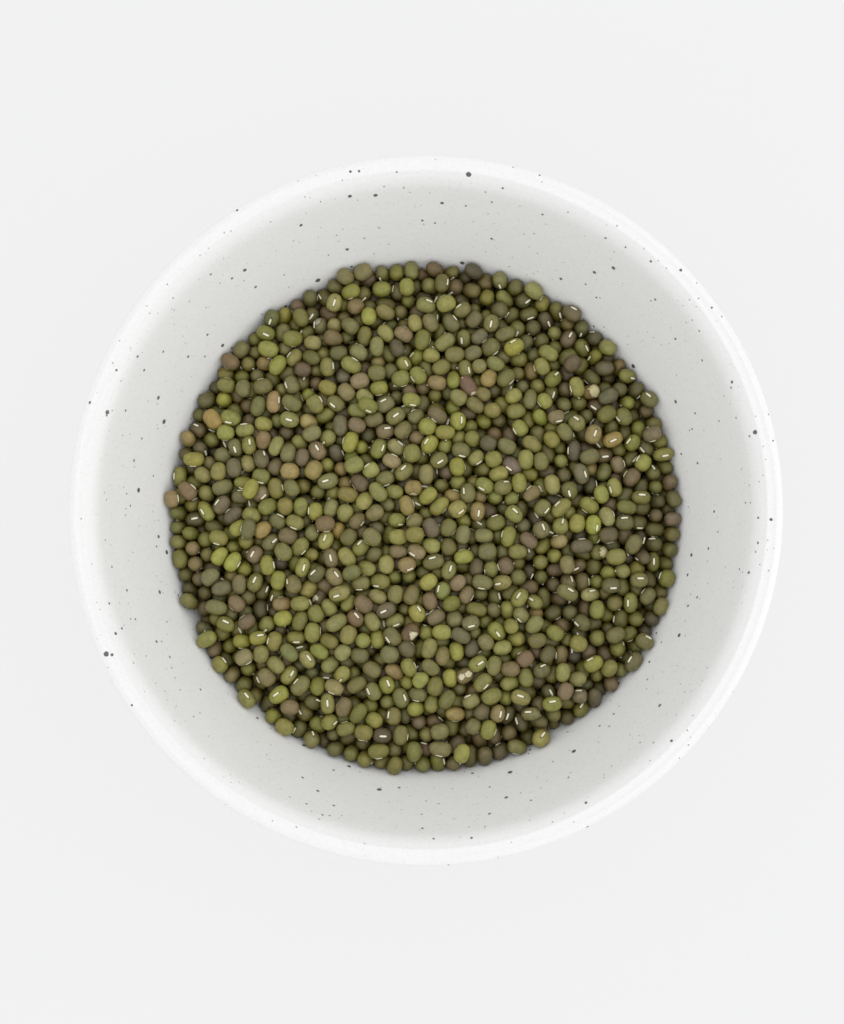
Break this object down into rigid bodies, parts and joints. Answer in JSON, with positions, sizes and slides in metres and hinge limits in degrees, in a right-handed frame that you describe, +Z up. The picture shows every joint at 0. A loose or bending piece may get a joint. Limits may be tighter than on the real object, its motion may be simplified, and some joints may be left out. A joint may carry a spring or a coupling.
{
  "type": "bowl of mung beans",
  "caption": "Round white speckled stoneware bowl on a foot ring, part filled with a loose heap of dry green mung beans.",
  "frame": {"origin": "centre of the underside of the foot ring", "axes": "+Z up along the bowl's turned axis; the reference view is from just off straight above, from -Y"},
  "size_m": [0.16, 0.16, 0.066],
  "materials": {
    "speckled_glaze": "satin",
    "mung_beans": "satin"
  },
  "bodies": {
    "root": {"bowl": "speckled_glaze", "mung_beans": "mung_beans"}
  },
  "joints": []
}
